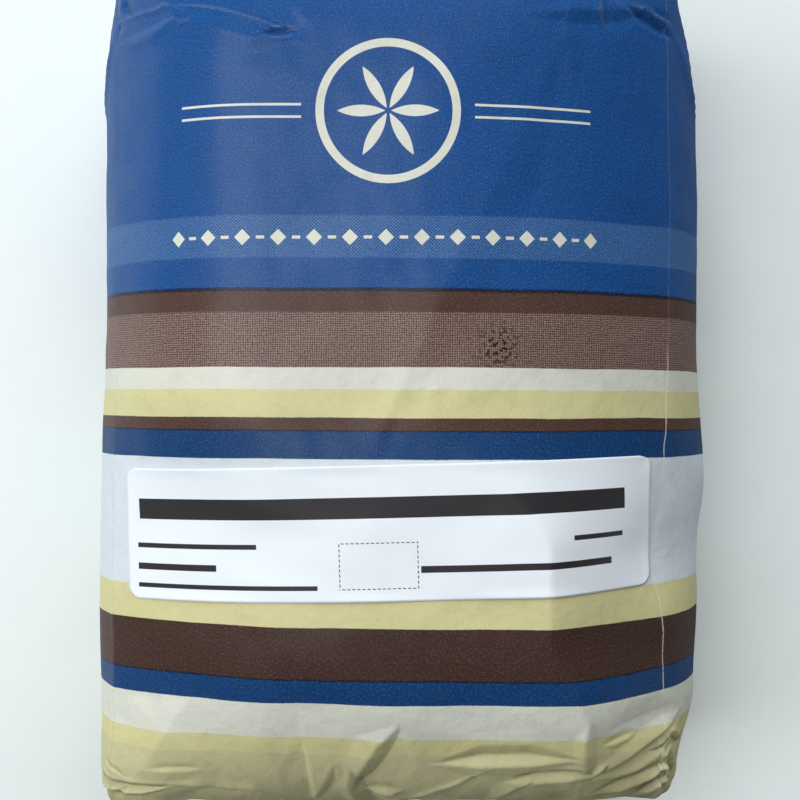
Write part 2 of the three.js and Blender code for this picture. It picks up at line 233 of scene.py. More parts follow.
def row_places():
    """The rows along the bag, from the bottom's ridge line to the top's: y of the section, how far
    it is drawn in round the edge, its share of the way over the face, and its paper length."""
    turn = np.linspace(0, np.pi / 2, EDGE_STEPS + 1)[1:]
    edge_y = TUBE_END + EDGE_RADIUS * np.sin(turn)
    edge_in = EDGE_RADIUS * (1 - np.cos(turn))
    edge_t = TUBE_END + EDGE_RADIUS * turn
    over = np.linspace(0, 1, FACE_STEPS + 1)[1:]
    full = np.ones(FACE_STEPS)
    y = np.concatenate([edge_y, EDGE_Y * full])
    inset = np.concatenate([edge_in, EDGE_RADIUS * full])
    face = np.concatenate([0 * turn, over])
    paper = np.concatenate([edge_t, edge_t[-1] * full])
    tube = [np.arange(start, stop, spacing) for start, stop, spacing in TUBE_ROWS]
    tube = np.concatenate([*tube, [TUBE_END]])
    none = 0 * tube
    ends = [np.concatenate([s * a[::-1], m, b]) for s, a, m, b in (
        (-1, y, tube, y), (1, inset, none, inset), (1, face, none, face), (-1, paper, tube, paper))]
    return [a[:, None] for a in ends]


def bag_grid():
    """The smooth bag as a grid of points, with each point's paper place: across from the middle of
    the front, the same with the front measured flat in x, and along, on over the end faces; and how
    far it lies beyond the front crease on its own side, less than nought on the front."""
    y, inset, face, paper = row_places()
    x, z, ridge, share = section(y)
    reach = np.hypot(ridge - x, END_MID_Z - z)
    drawn = inset / reach
    x1, z1 = blend(x, ridge, drawn), blend(z, END_MID_Z, drawn)
    x2, z2 = blend(x1, ridge, face), blend(z1, END_MID_Z, face)
    y2 = y + np.sign(y) * np.where(face > 0, face_bulge(x2, z2), 0)
    points = np.stack([x2, y2, z2], 2)
    along = paper + np.sign(y) * face * (reach - EDGE_RADIUS)
    step = np.hypot(np.diff(x, axis=1), np.diff(z, axis=1))
    arc = np.concatenate([0 * y, np.cumsum(step, 1)], 1)
    middle = np.array([np.interp(0, a[:FRONT_COLUMNS], b[:FRONT_COLUMNS]) for a, b in zip(x, arc)])
    across = arc - middle[:, None]
    right = arc[:, [FRONT_COLUMNS]]
    total = arc[:, [-1]] + step[:, [0]]
    flat = np.where(share >= 0, crease_right(y) + arc - right, x)
    left_panel = np.arange(x.shape[1]) > FRONT_COLUMNS + SIDE_COLUMNS + BACK_COLUMNS // 2
    across = np.where(left_panel, across - total, across)
    flat = np.where(left_panel & (share >= 0), crease_left(y) - (total - arc), flat)
    beyond_left = np.where(left_panel, total - arc, -arc)
    off_crease = np.where(across > 0, arc - right, beyond_left)
    return points, across, flat, along, off_crease


def grid_normals(points):
    """Unit normals of a grid that closes round its columns, from its two directions' cross product;
    on the last rows, where the grid has shrunk to a line, straight out of the end."""
    around = np.roll(points, -1, 1) - np.roll(points, 1, 1)
    along = np.gradient(points, axis=0)
    normal = np.cross(around, along)
    normal[0], normal[-1] = (0, -1, 0), (0, 1, 0)
    return normal / np.maximum(np.linalg.norm(normal, axis=2, keepdims=True), 1e-9)


FOLD_SOFTENING = 0.17             # to each side, the reach over which a fold's knots are averaged
FOLD_NARROWEST = 0.25             # its width at its tips, as a share of its full width


def fold(s, t, start, end, bow, profile):
    """Height of one fold. It runs from start to end, bowed sideways by a parabola. Across it the
    height is straight between the profile's (offset, height) knots, with offsets to the right of
    its way, and the knots are rounded a little by averaging. In the third of its length next to
    each tip the height grows evenly from nothing, and the width with it from its narrowest."""
    run = np.subtract(end, start)
    length = np.hypot(*run)
    q = ((s - start[0]) * run[0] + (t - start[1]) * run[1]) / length**2
    d = ((s - start[0]) * run[1] - (t - start[1]) * run[0]) / length
    d = d - bow * 4 * q * (1 - q)
    lens = np.clip(3 * np.minimum(q, 1 - q), 0, 1)
    offsets, heights = zip(*profile)
    width = np.maximum(lens, FOLD_NARROWEST)
    spots = [(d + aside) / width for aside in (-FOLD_SOFTENING, 0, FOLD_SOFTENING)]
    return lens * sum(np.interp(spot, offsets, heights) for spot in spots) / len(spots)


# Each fold: start, end, bow and profile, in millimetres across and along the front.
BOTTOM_FOLDS = (
    # the deep valley left of the middle, and the facet that turns up beside it
    ((-0.6, -60.8), (-10.4, -77), -1.6, ((-6, 0), (-0.2, -0.8), (0, -1), (3, 0.8), (7, 0))),
    ((-10.4, -70), (-5.6, -83), -0.6, ((-4, 0), (-0.2, -1.1), (2.6, 0.5), (5, 0))),
    ((-8, -76.6), (0.4, -75.6), 0, ((-2, 0), (-0.5, -0.5), (0.5, 0.8), (1.6, 0))),
    # the two long lenses right of it
    ((4.4, -69.6), (33, -68.6), -0.4,
     ((-6.5, 0), (-3.6, 0.2), (-1.1, -0.85), (0.6, 1.0), (3.8, -0.15), (6, 0))),
    ((17.8, -74), (36.6, -72.2), -0.5, ((-2.2, 0), (-0.7, -0.75), (0.4, 0.9), (2.8, 0))),
    ((22, -71.6), (35, -70.6), -0.2, ((-1.4, 0), (0, 0.4), (0.8, -0.35), (2, 0))),
    # the ridge bands below them
    ((-4.5, -79.8), (17, -69.6), 0.8, ((-4, 0), (-0.8, 0.2), (0, 0.9), (0.9, -0.7), (4, 0))),
    ((15, -80), (24.5, -72.4), 0.3, ((-3, 0), (-0.5, 0.8), (0.5, -0.5), (2.6, 0))),
    # the short upright fold and the long dark slope to the right corner
    ((34.7, -74), (33.9, -60), 0, ((-3.6, 0), (-1.2, 0.4), (1.1, -0.5), (3.6, 0))),
    ((33.5, -73.6), (59, -62.4), -0.4, ((-3.4, 0), (-0.5, 1), (0.9, -1.2), (3.6, 0.6), (6.5, 0))),
    ((34.4, -77.4), (53.5, -72), -0.6, ((-1.6, 0), (-0.2, -0.6), (1.6, 1.1), (2.4, -0.2), (4, 0))),
    ((34.2, -73.2), (37.8, -69.6), 0, ((-0.9, 0), (0, 0.7), (0.6, -0.4), (1.4, 0))),
    ((36, -66.4), (44, -64.6), -0.3, ((-1.4, 0), (-0.3, -0.3), (0.5, 0.4), (1.6, 0))),
    ((37, -63.4), (54, -61.6), -0.5, ((-4, 0), (0, -0.55), (4, 0))),
    # the crushed right corner
    ((46, -69.6), (56, -65.4), 0.4, ((-1.1, 0), (0, 0.6), (0.8, -0.6), (2, 0))),
    ((48.5, -71), (56, -69.2), -0.3, ((-1, 0), (-0.2, -0.5), (0.6, 0.5), (1.8, 0))),
    ((49.4, -70.6), (52.6, -79), 0.5, ((-1.2, 0), (0, 0.8), (0.8, -0.6), (2, 0))),
    ((43, -79), (54.6, -74.2), -0.3, ((-1.2, 0), (-0.2, -0.7), (0.7, 0.7), (2.2, 0))),
    ((53, -69), (60, -77), 0.3, ((-1.2, 0), (0, 0.8), (0.8, -0.6), (2.4, 0))),
    ((52, -65.6), (63, -70), 0.3, ((-1.3, 0), (0, 0.6), (1, -0.6), (2.6, 0))),
    ((50.4, -65), (51, -81), 0.4, ((-0.8, 0), (0, 0.5), (0.8, -0.2), (1.6, 0))),
    ((47.5, -75), (51.5, -72), 0.2, ((-0.9, 0), (0, 0.5), (0.8, -0.3), (1.6, 0))),
    # the crushed left corner: a slanting shoulder, a dark wedge over a bright facet, fine lines
    ((-39, -56.6), (-54.6, -79), -0.4, ((-12, 0), (0, 1.35), (10, 0.1), (14, 0))),
    ((-66, -75.8), (-42, -74.4), 0.3,
     ((-1.6, 0), (-0.5, 0.35), (0.1, -1), (1.5, 1.1), (2.3, -0.2), (4, 0))),
    ((-60, -71.6), (-51.5, -74.4), -0.2, ((-0.8, 0), (-0.2, -0.3), (0.3, 0.3), (1.2, 0))),
    ((-51.6, -75.6), (-58.4, -81), 0.6, ((-0.9, 0.2), (0, -0.7), (0.8, 0.2), (1.8, 0))),
    ((-46, -74.2), (-26, -76), 0.3, ((-1.8, 0), (0, 0.5), (0.6, -0.1), (3.4, 0))),
    ((-49, -71.6), (-36.6, -71.2), -0.3, ((-1, 0), (-0.3, -0.25), (0.5, 0.35), (2.4, 0))),
    # both corners stand out a little beyond the end, the left one with a broad full shoulder
    ((-76, -74), (-32, -73), 0, ((-15, 0), (1.5, 1.1), (4, 0.9), (7.5, 0))),
    ((-66, -80.4), (-42, -80.2), 0, ((-2.8, 0), (-0.5, 1.7), (1.5, 1.7), (6, 0))),
    ((42, -80.2), (64, -80.2), 0, ((-2.6, 0), (-0.5, 0.7), (1.5, 0.7), (6, 0))),
    # soft upright creases in between
    ((-17.4, -82), (-18.8, -64.4), 0, ((-5, 0.1), (-0.1, -0.45), (1, 0.25), (6, 0))),
    ((-18.4, -80.5), (-13, -69), 0.2, ((-2, 0), (0, 0.35), (1.6, -0.3), (3, 0))),
    ((-30, -80.6), (-28, -73), 0.2, ((-3.4, 0), (0, 0.3), (3, 0))),
    ((-47, -80.4), (-20, -79), 0.5, ((-2, 0), (0, 0.4), (1.5, -0.4), (3.5, 0))),
    ((18, -80.6), (46, -79.4), 0.5, ((-2, 0), (0, 0.5), (1.5, -0.5), (3.5, 0))),
)
FRONT_SWELLS = (
    # a soft ridge that slants across the middle of the front, a soft upright dent lower left, and
    # the fuller lower half of the left side panel
    ((30, 66), (-6, -12), 0, ((-20, 0), (-7, -0.45), (0, 0.25), (9, 0))),
    ((-22, -48), (-22.6, -76), 0, ((-13, 0), (-3, -0.4), (3, 0.05), (8, 0))),
    ((-67, 10), (-67, -96), 0, ((-10, 0), (-2, 0.6), (4, 0.6), (16, 0))),
)
TOP_FOLDS = (
    # the long arch at the left, its pinched right end, and the lit strip under it
    ((-60, 68.8), (-39, 68.8), -0.9, ((-4, 0), (-0.5, -0.2), (0, 0.2), (0.8, -0.1), (4, 0.3), (7, 0))),
    ((-46, 70.2), (-17, 61.6), -1.3,
     ((-13, 0), (-8, -1.1), (-0.6, -0.8), (0, 0), (0.7, -0.3), (3.6, 0.4), (6.6, -0.1), (11, 0))),
    ((-26.4, 63), (-18.4, 63.6), 0.15, ((-0.9, 0.1), (-0.1, -0.9), (0.9, 0.1), (2, 0))),
    ((-46.6, 69.6), (-42, 69), -0.7, ((-0.8, 0), (0, 0.45), (0.7, -0.1), (1.3, 0))),
    ((-53.4, 75), (-50.6, 69.4), 0.8, ((-1.2, 0), (0, -0.7), (1, 0.3), (2.2, 0))),
    ((-42.8, 68.6), (-38, 66.2), 0.5, ((-1.1, 0), (0, -0.45), (0.9, 0.25), (2, 0))),
    ((-56.5, 65.4), (-40, 68.2), 0.4, ((-3, 0), (0, -0.45), (2, 0.15), (4, 0))),
    ((-54.9, 65.4), (-54.1, 69.6), 0, ((-0.9, 0), (0, -0.3), (1, 0))),
    # the dark notch at the right crease, the facet over it and a faint upright crease
    ((40.5, 71.4), (53.4, 66.4), -0.8, ((-2, 0), (-0.8, 0.4), (0.4, -1.2), (2.4, 0.1), (4, 0))),
    ((46, 72), (52.8, 70.2), 0.2, ((-0.9, 0), (0, -0.5), (0.9, 0.1), (2, 0))),
    ((22, 67.4), (47, 71.6), 0.7, ((-3.4, 0), (-0.4, 0.5), (2, -0.45), (5.6, 0))),
    ((36.5, 72), (38.4, 65.4), 0.2, ((-1.8, 0), (0, -0.5), (1.4, 0.3), (2.8, 0))),
    ((29.6, 70), (30.6, 54), 0.2, ((-3, 0), (0, 0.35), (3, 0))),
    # the slanting folds of the tucked side panels
    ((51, 69.4), (72, 52), 0.4, ((-2.4, 0), (0, 0.7), (2.4, 0))),
    ((-56, 69.4), (-76, 52), -0.4, ((-2.4, 0), (0, 0.6), (2.4, 0))),
)


CRUMPLE_HALF = 70.0               # small folds lie this far out from the middle
CRUMPLE_LENGTH = (5.0, 15.0)      # of one small fold
CRUMPLE_WIDTH = (1.2, 3.2)        # from its ridge to its foot


def crumple(s, t, seed, count, low, high, size):
    """Many small folds at random places between low and high along the paper: tents, up or down,
    that lean to one side and taper to their ends. Each is about size times its width high."""
    rng = np.random.default_rng(seed)
    height = np.zeros_like(s)
    for _ in range(count):
        place = np.array([rng.uniform(-CRUMPLE_HALF, CRUMPLE_HALF), rng.uniform(low, high)])
        way = rng.uniform(0, np.pi)
        half = 0.5 * rng.uniform(*CRUMPLE_LENGTH) * np.array([np.cos(way), np.sin(way)])
        width = rng.uniform(*CRUMPLE_WIDTH)
        rise = size * width * rng.uniform(0.6, 1.2) * rng.choice([-1, 1])
        lean = rng.uniform(0.5, 1.5)
        knots = ((-width * lean, 0), (0, rise), (width * (2 - lean), 0))
        height += fold(s, t, place - half, place + half, rng.uniform(-0.8, 0.8), knots)
    return height


def waves(s, t, seed, count, shortest, longest, size):
    """Soft unevenness: a sum of sine waves with random ways, lengths and starts."""
    rng = np.random.default_rng(seed)
    height = np.zeros_like(s)
    for _ in range(count):
        way, length = rng.uniform(0, np.pi), rng.uniform(shortest, longest)
        run = s * np.cos(way) + t * np.sin(way)
        height += np.sin(2 * np.pi * run / length + rng.uniform(0, 2 * np.pi))
    return height * size / math.sqrt(count)


DIMPLE_PLACE = (45.0, -32.0)      # a shallow dimple beside the dent in the right crease
DIMPLE_DEPTH = 0.4
DIMPLE_WIDTH = 5.0
DIMPLE_SQUEEZE = 0.7              # its width over its length along the bag


def paper_relief(s, t):
    """How far the paper stands off the smooth bag at a paper place: a slight unevenness, the folds
    seen at both ends, the crumple round them and the dimple beside the right crease."""
    height = waves(s, t, seed=5, count=7, shortest=14, longest=34, size=0.11)
    height += waves(s, t, seed=8, count=9, shortest=5, longest=10, size=0.03)
    for start, end, bow, profile in BOTTOM_FOLDS + FRONT_SWELLS + TOP_FOLDS:
        height += fold(s, t, start, end, bow, profile)
    height += crumple(s, t, seed=3, count=70, low=-118, high=-74, size=0.16) * ease(-t, 66, 76)
    height += crumple(s, t, seed=4, count=46, low=70, high=112, size=0.12) * ease(t, 66, 78)
    off_dimple = np.hypot(s - DIMPLE_PLACE[0], (t - DIMPLE_PLACE[1]) * DIMPLE_SQUEEZE)
    return height - DIMPLE_DEPTH * hill(off_dimple, DIMPLE_WIDTH)


SHORTEST_SPACING = 0.3            # closer points than this count as this far apart


def ridge_strength(points, normals):
    """How sharply the sheet is bent along the bag or across it: the distance of each point beyond
    the middle of its two neighbours, over the square of their spacing, per millimetre. A ridge is
    above nought and a valley below."""
    bend = np.zeros(points.shape[:2])
    for axis in (0, 1):
        before, after = np.roll(points, 1, axis), np.roll(points, -1, axis)
        spacing = np.linalg.norm(after - before, axis=2) / 2
        beyond = ((points - (before + after) / 2) * normals).sum(2)
        bend += beyond / np.maximum(spacing, SHORTEST_SPACING) ** 2
    bend[[0, -1]] = 0
    return bend


def mesh_piece(name, points, faces, material=None, smooth=True):
    """A mesh object of points in millimetres, put into metres."""
    mesh = bpy.data.meshes.new(name)
    mesh.from_pydata(np.asarray(points) * MM, [], faces)
    mesh.polygons.foreach_set("use_smooth", np.full(len(mesh.polygons), smooth))
    piece = bpy.data.objects.new(name, mesh)
    bpy.context.scene.collection.objects.link(piece)
    if material:
        mesh.materials.append(material)
    return piece


def welded(points, quads):
    """The grid's quads after points in one place are made one; a quad with a shrunken side becomes
    a triangle, and one with two is dropped. Also says which points are kept."""
    _, kept, to_kept = np.unique(np.round(points, 5), axis=0, return_index=True, return_inverse=True)
    corners = to_kept.reshape(-1)[quads]
    same = corners == np.roll(corners, 1, axis=1)
    whole = corners[~same.any(axis=1)].tolist()
    three = corners[same.sum(axis=1) == 1]
    keep = ~same[same.sum(axis=1) == 1]
    return kept, whole + three[keep].reshape(-1, 3).tolist()


def ring_quads(rows, columns):
    """Corner numbers of the quads of a grid that closes round its columns."""
    corner = np.arange(rows * columns).reshape(rows, columns)
    beside = np.roll(corner, -1, 1)
    return np.stack([corner[:-1], beside[:-1], beside[1:], corner[1:]], 2).reshape(-1, 4)


def store(piece, name, values):
    """A number for each point of the mesh, for its material to read."""
    attribute = piece.data.attributes.new(name, "FLOAT", "POINT")
    attribute.data.foreach_set("value", np.asarray(values, np.float32))


SEAM_HALF = 7.0                   # half the glued overlap that runs up the middle of the back
NO_SEAM = 60.0                    # the distance to the seam that is stored where there is none
NO_CREASE = -30.0                 # and to a crease, on the flaps

smooth_points, across, flat_across, along, off_crease = bag_grid()
normals = grid_normals(smooth_points)
relief = paper_relief(flat_across, along)
on_back = np.zeros(relief.shape[1], bool)
on_back[FRONT_COLUMNS + SIDE_COLUMNS:FRONT_COLUMNS + SIDE_COLUMNS + BACK_COLUMNS + 1] = True
# The back is smooth and is crumpled only on the end faces.
relief = np.where(on_back, relief * ease(np.abs(along), EDGE_Y + 2, EDGE_Y + 7), relief)
relief[[0, -1]] = 0
bag_points = smooth_points + normals * relief[:, :, None]
bag_points[:, :, 2] = np.maximum(bag_points[:, :, 2], 0)

rows, columns = relief.shape
kept, faces = welded(bag_points.reshape(-1, 3), ring_quads(rows, columns))
bag = mesh_piece("paper_bag", bag_points.reshape(-1, 3)[kept], faces)
store(bag, "paper_across", across.reshape(-1)[kept] * MM)
store(bag, "paper_along", along.reshape(-1)[kept] * MM)
store(bag, "off_crease", off_crease.reshape(-1)[kept] * MM)
has_seam = on_back & (np.abs(along) < EDGE_Y)
off_seam = np.where(has_seam, smooth_points[:, :, 0] + SEAM_HALF, NO_SEAM)
store(bag, "off_seam", off_seam.reshape(-1)[kept] * MM)
store(bag, "ridge", ridge_strength(bag_points, normals).reshape(-1)[kept])
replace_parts(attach(bag, "root"), "bag")


# ---- The printed paper ----
# White bag paper printed in blue, brown and straw yellow: broad stripes across the bag, two of them
# in a fine screen, with a ring and rosette and a row of small ornaments. The ink has a satin skin,
# which is rubbed pale along the creases.


class Wire:
    """A socket in a material's nodes. Arithmetic on it adds Math nodes; node() adds any other."""

    def __init__(self, socket):
        self.socket = socket

    def node(self, kind, sockets=(), out=0, **settings):
        """A node of that type: its settings are set, then its sockets, by name or number."""
        return add_node(self.socket.id_data, kind, sockets, out, **settings)

    def math(self, operation, *others):
        return self.node("ShaderNodeMath", enumerate((self, *others)), operation=operation)

    def __add__(self, other):
        return self.math("ADD", other)

    def __radd__(self, other):
        return self.math("ADD", other)

    def __sub__(self, other):
        return self.math("SUBTRACT", other)

    def __rsub__(self, other):
        return self.node("ShaderNodeMath", enumerate((other, self)), operation="SUBTRACT")

    def __mul__(self, other):
        return self.math("MULTIPLY", other)

    def __truediv__(self, other):
        return self.math("DIVIDE", other)

    def __rtruediv__(self, other):
        return self.node("ShaderNodeMath", enumerate((other, self)), operation="DIVIDE")

    def __pow__(self, other):
        return self.math("POWER", other)

    def __abs__(self):
        return self.math("ABSOLUTE")

    def sin(self):
        return self.math("SINE")

    def cos(self):
        return self.math("COSINE")

    def most(self, other):
        return self.math("MAXIMUM", other)

    def repeat(self, length):
        """The distance to the middle of its cell, when the line is cut into cells of that length."""
        return abs(self.math("WRAP", length / 2, -length / 2))

    def below(self, limit, soft=0.05):
        """A mask: 1 where this is under the limit, 0 over it, with a soft step between."""
        ready = (limit - self) / soft + 0.5
        ready.socket.node.use_clamp = True
        return ready

    def tint(self, colour, mask):
        """This colour, turned to the other by the mask."""
        return self.node("ShaderNodeMix", ((0, mask), (6, self), (7, colour)), 2, data_type="RGBA")


def add_node(tree, kind, sockets=(), out=0, **settings):
    """Adds a node to a tree and gives one of its outputs as a Wire."""
    made = tree.nodes.new(kind)
    for name, value in settings.items():
        setattr(made, name, value)
    for key, value in sockets:
        if isinstance(value, Wire):
            tree.links.new(value.socket, made.inputs[key])
        else:
            made.inputs[key].default_value = value
    return Wire(made.outputs[out])


def srgb(red, green, blue):
    """A colour as a screen shows it, 0 to 255, in the linear light that shaders work in."""
    c = np.array([red, green, blue]) / 255
    return (*np.where(c < 0.04045, c / 12.92, ((c + 0.055) / 1.055) ** 2.4), 1)


def new_finish(name, **constants):
    """A material with one Principled shader, and its constant sockets set."""
    material = bpy.data.materials.new(name)
    material.use_nodes = True
    shader = material.node_tree.nodes["Principled BSDF"]
    for socket, value in constants.items():
        shader.inputs[socket.replace("_", " ")].default_value = value
    return material, shader


def feed(material, shader, **wires):
    """Links wires to sockets of the shader."""
    for socket, wire in wires.items():
        material.node_tree.links.new(wire.socket, shader.inputs[socket.replace("_", " ")])


def stored(material, name):
    """A number stored on the mesh."""
    return add_node(material.node_tree, "ShaderNodeAttribute", out="Fac", attribute_name=name)


def stored_mm(material, name):
    """A length stored on the mesh, in millimetres."""
    return stored(material, name) * (1 / MM)


def paper_places(material):
    """Where on the paper: across it, along it, and both as one vector."""
    x = stored_mm(material, "paper_across")
    y = stored_mm(material, "paper_along")
    return x, y, x.node("ShaderNodeCombineXYZ", ((0, x), (1, y)))


def plain(at, colour):
    """One colour, for others to be laid over it."""
    ground = at.node("ShaderNodeRGB")
    ground.socket.default_value = colour
    return ground


def grain(at, scale, detail=2, roughness=0.5):
    """Noise about 0.5, with that many grains to the unit."""
    sockets = (("Vector", at), ("Scale", scale), ("Detail", detail), ("Roughness", roughness))
    return at.node("ShaderNodeTexNoise", sockets)


BLUE = srgb(22, 77, 141)
DEEP_BLUE = srgb(15, 63, 114)
PALE_BLUE = srgb(115, 152, 194)
BROWN = srgb(82, 59, 52)
DEEP_BROWN = srgb(68, 47, 41)
PALE_BROWN = srgb(176, 153, 146)
WHITE = srgb(213, 216, 204)
COOL_WHITE = srgb(209, 220, 227)
YELLOW = srgb(208, 204, 153)
STRAW = srgb(199, 195, 153)
# a blue-black: where inks overlap and in dark speckles, and the colour of the painted shade in valleys
# on the blue and of the painted shadow beside the back seam
OVERLAP_INK_AND_SHADE = srgb(16, 22, 40)
BARE_PAPER = srgb(226, 226, 214)
# a dark olive: faint random cloudiness in the ink, and the colour of the painted shade in fold valleys
# and along the bottom edge
DIRT_AND_SHADE = srgb(60, 57, 38)
SCUFF = srgb(48, 33, 27)

# Where each stripe begins, along the bag from its middle, and its colour. Blue runs from the first
# one up over the top end; straw runs from the last one down over the bottom end.
STRIPES = (
    (17.15, BROWN), (3.3, WHITE), (-0.65, YELLOW), (-5.7, BROWN), (-8.05, DEEP_BLUE),
    (-13.1, COOL_WHITE), (-37.0, YELLOW), (-43.4, DEEP_BROWN), (-53.0, DEEP_BLUE), (-57.5, WHITE),
    (-64.2, YELLOW), (-67.6, STRAW),
)
STARTS = [start for start, ink in STRIPES]
# The lines where one ink runs a little way under the next: their place and half width.
OVERLAPS = ((STARTS[0], 0.34), (STARTS[8], 0.16), (STARTS[4], 0.14))
BLUE_SCREEN = (30.3, 22.8)        # the two stripes printed in a fine screen, from top to bottom
BROWN_SCREEN = (13.15, 3.3)
BLUE_PITCH = 0.42
BROWN_PITCH = 0.41
PRINT_SLANT = 0.004               # how much the stripes climb to the left, for each unit across

RING_X, RING_Y = -2.9, 49.0
RING_RADIUS = 12.2
RING_WIDTH = 1.5
PETAL_RADIUS = 9.6
PETAL_TRIM = 0.25                 # how much slimmer a petal is than its two arcs make it
RULE_REACH = (15.5, 38.0)         # the fine rules beside the ring, from its middle
RULE_APART = 1.1                  # how far above and below it they lie, and their half thickness
RULE_HALF = 0.22
ORNAMENT_PITCH = 6.4              # the row of ornaments in the screened blue stripe
LOZENGE_HALF = 1.45
DASH_HALF = (0.75, 0.28)          # half the length and half the thickness of its dashes
ORNAMENT_ROW = (-3.3, 26.5, 40.3)   # its middle across, its height along, and half its length
SCUFF_PLACE = (17.0, 7.0)         # the middle of the scuffed patch in the screened brown stripe
SCUFF_REACH = 3.6
BOTTOM_SHADE_Y = -80.5                    # the painted shade along the bottom edge: its middle line, and its half width
BOTTOM_SHADE_HALF = 4.6


def screen(x, y, pitch):
    """A printer's screen: dots in rows along x and y, as the sum of two cosines, from 0 to 1."""
    turn = 2 * math.pi / pitch
    return ((x * turn).cos() + (y * turn).cos()) * 0.25 + 0.5


def band(value, high, low, soft=0.05):
    """1 between two heights."""
    return value.below(high, soft) * (1 - value.below(low, soft))


def clamped(value):
    """The value held between 0 and 1."""
    held = value + 0
    held.socket.node.use_clamp = True
    return held


def hill_at(dx, dy, width):
    """One over one plus the fourth power of distance over width: 1 at no distance, and a half at
    the width."""
    far = (dx * dx + dy * dy) / width**2
    return 1 / (far * far + 1)


def ornament_print(x, y):
    """Where the ornaments leave the paper white: a ring round a six-petalled rosette, drawn with a
    pair of compasses; two fine rules on each side of it; and the row of lozenges and dashes."""
    dx, dy = x - RING_X, y - RING_Y
    far = (dx * dx + dy * dy) ** 0.5
    ring = band(far, RING_RADIUS + RING_WIDTH / 2, RING_RADIUS - RING_WIDTH / 2)
    turn = dy.math("ARCTAN2", dx)
    sixth = turn.repeat(math.pi / 3)
    px, py = far * sixth.cos(), far * sixth.sin()
    half = PETAL_RADIUS / 2
    reach = ((px - half) * (px - half) + (py + half * math.sqrt(3)) ** 2) ** 0.5
    petals = reach.below(PETAL_RADIUS - PETAL_TRIM)
    rules = abs(abs(dy) - RULE_APART).below(RULE_HALF) * band(abs(dx), RULE_REACH[1], RULE_REACH[0])
    middle, height, half_row = ORNAMENT_ROW
    along_row = x - middle
    step = along_row.repeat(ORNAMENT_PITCH)
    lozenge = (step + abs(y - height)).below(LOZENGE_HALF)
    dash = (along_row + ORNAMENT_PITCH / 2).repeat(ORNAMENT_PITCH).below(DASH_HALF[0])
    dash = dash * abs(y - height).below(DASH_HALF[1])
    row = lozenge.most(dash) * abs(along_row).below(half_row)
    return ring.most(petals).most(rules).most(row)


def stripe_print(x, y, place, line, blot):
    """The stripes, each printed from its edge down over the one above; the pale dots of the two
    screens, blotted and, on the brown, slipped a little; and the dark lines where inks overlap."""
    colour = plain(x, BLUE)
    slant = screen((x + y) / math.sqrt(2), (x - y) / math.sqrt(2), BLUE_PITCH)
    dots = (slant + (blot - 0.5) * 0.9).below(0.44, 0.3)
    colour = colour.tint(PALE_BLUE, band(line, *BLUE_SCREEN, 0.3) * dots * 0.5)
    for start, stripe in STRIPES:
        colour = colour.tint(stripe, line.below(start, 0.12))
    slip = (grain(place, 0.7, 2, 0.6) - 0.5) * 0.55
    dots = (screen(x + slip, y - slip, BROWN_PITCH) + (blot - 0.5) * 1.1).below(0.47, 0.25)
    colour = colour.tint(PALE_BROWN, band(line, *BROWN_SCREEN, 0.3) * (dots * 0.6 - 0.02))
    for start, half in OVERLAPS:
        colour = colour.tint(OVERLAP_INK_AND_SHADE, abs(line - start).below(half, 0.2) * 0.8)
    return colour


def uneven_ink(colour, x, y, place, line, mottle, ornaments):
    """Pale and dark speckles, mostly in the blue and brown inks; a faint cloudiness; and dark spots
    where the brown screen is scuffed."""
    inked = (1 - line.below(STARTS[1])).most(band(line, STARTS[3], STARTS[5]))
    inked = inked.most(band(line, STARTS[7], STARTS[9])) * (1 - ornaments)
    speckle = grain(place, 2.7, 3, 0.8)
    colour = colour.tint(BARE_PAPER, clamped((speckle - 0.53) * 4) * inked * 0.14)
    colour = colour.tint(OVERLAP_INK_AND_SHADE, clamped((0.5 - speckle) * 4) * (inked * 0.42 + 0.06))
    colour = colour.tint(DIRT_AND_SHADE, clamped((mottle - 0.5) * 2.4) * 0.16)
    spots = 1 - grain(place, 1.3, 1, 0.5).below(0.55, 0.04)
    scuffed = hill_at(x - SCUFF_PLACE[0], y - SCUFF_PLACE[1], SCUFF_REACH)
    return colour.tint(SCUFF, scuffed * spots * band(line, *BROWN_SCREEN))


def wear_and_valley_shade(colour, material, x, y, place, off_crease):
    """Ink rubbed off the sharp ridges, and painted shade in the valleys, darker the sharper the bend;
    a worn pale line down the right front crease, strongest in its lower half, and a faint dark line
    down the left; and up the back the pale cut edge of the seam with a painted shadow beside it."""
    bend = stored(material, "ridge")
    broken = clamped((grain(place, 1.1, 3, 0.7) - 0.36) * 5)
    on_blue = 1 - y.below(STARTS[0])
    ridge_wear = clamped((bend - 0.4) * 0.7) * broken * (0.34 - on_blue * 0.14)
    colour = colour.tint(BARE_PAPER, ridge_wear)
    # painted shade in the fold valleys, darker the sharper the sheet bends in
    valley = clamped((-0.2 - bend) * 0.9)
    colour = colour.tint(OVERLAP_INK_AND_SHADE, valley * on_blue * 0.4)
    colour = colour.tint(DIRT_AND_SHADE, valley * (1 - on_blue) * 0.5)
    sway = (grain(place, 0.1, 3, 0.6) - 0.5) * 1.6
    fold_line = abs(off_crease + sway).below(0.16, 0.14)
    left = x.below(0)
    rubbed = band(y, 6, -84, 6) * 0.6 + band(y, 78, -84, 2) * 0.06
    worn = (1 - left) * rubbed * clamped(broken + 0.4)
    colour = colour.tint(BARE_PAPER, fold_line * worn)
    colour = colour.tint(OVERLAP_INK_AND_SHADE, fold_line * left * broken * 0.14)
    seam = stored_mm(material, "off_seam")
    colour = colour.tint(BARE_PAPER, abs(seam + sway * 0.1).below(0.14, 0.1) * 0.7)
    # a painted shadow beside the seam's cut edge
    return colour.tint(OVERLAP_INK_AND_SHADE, abs(seam - 0.5).below(0.35, 0.5) * 0.3)


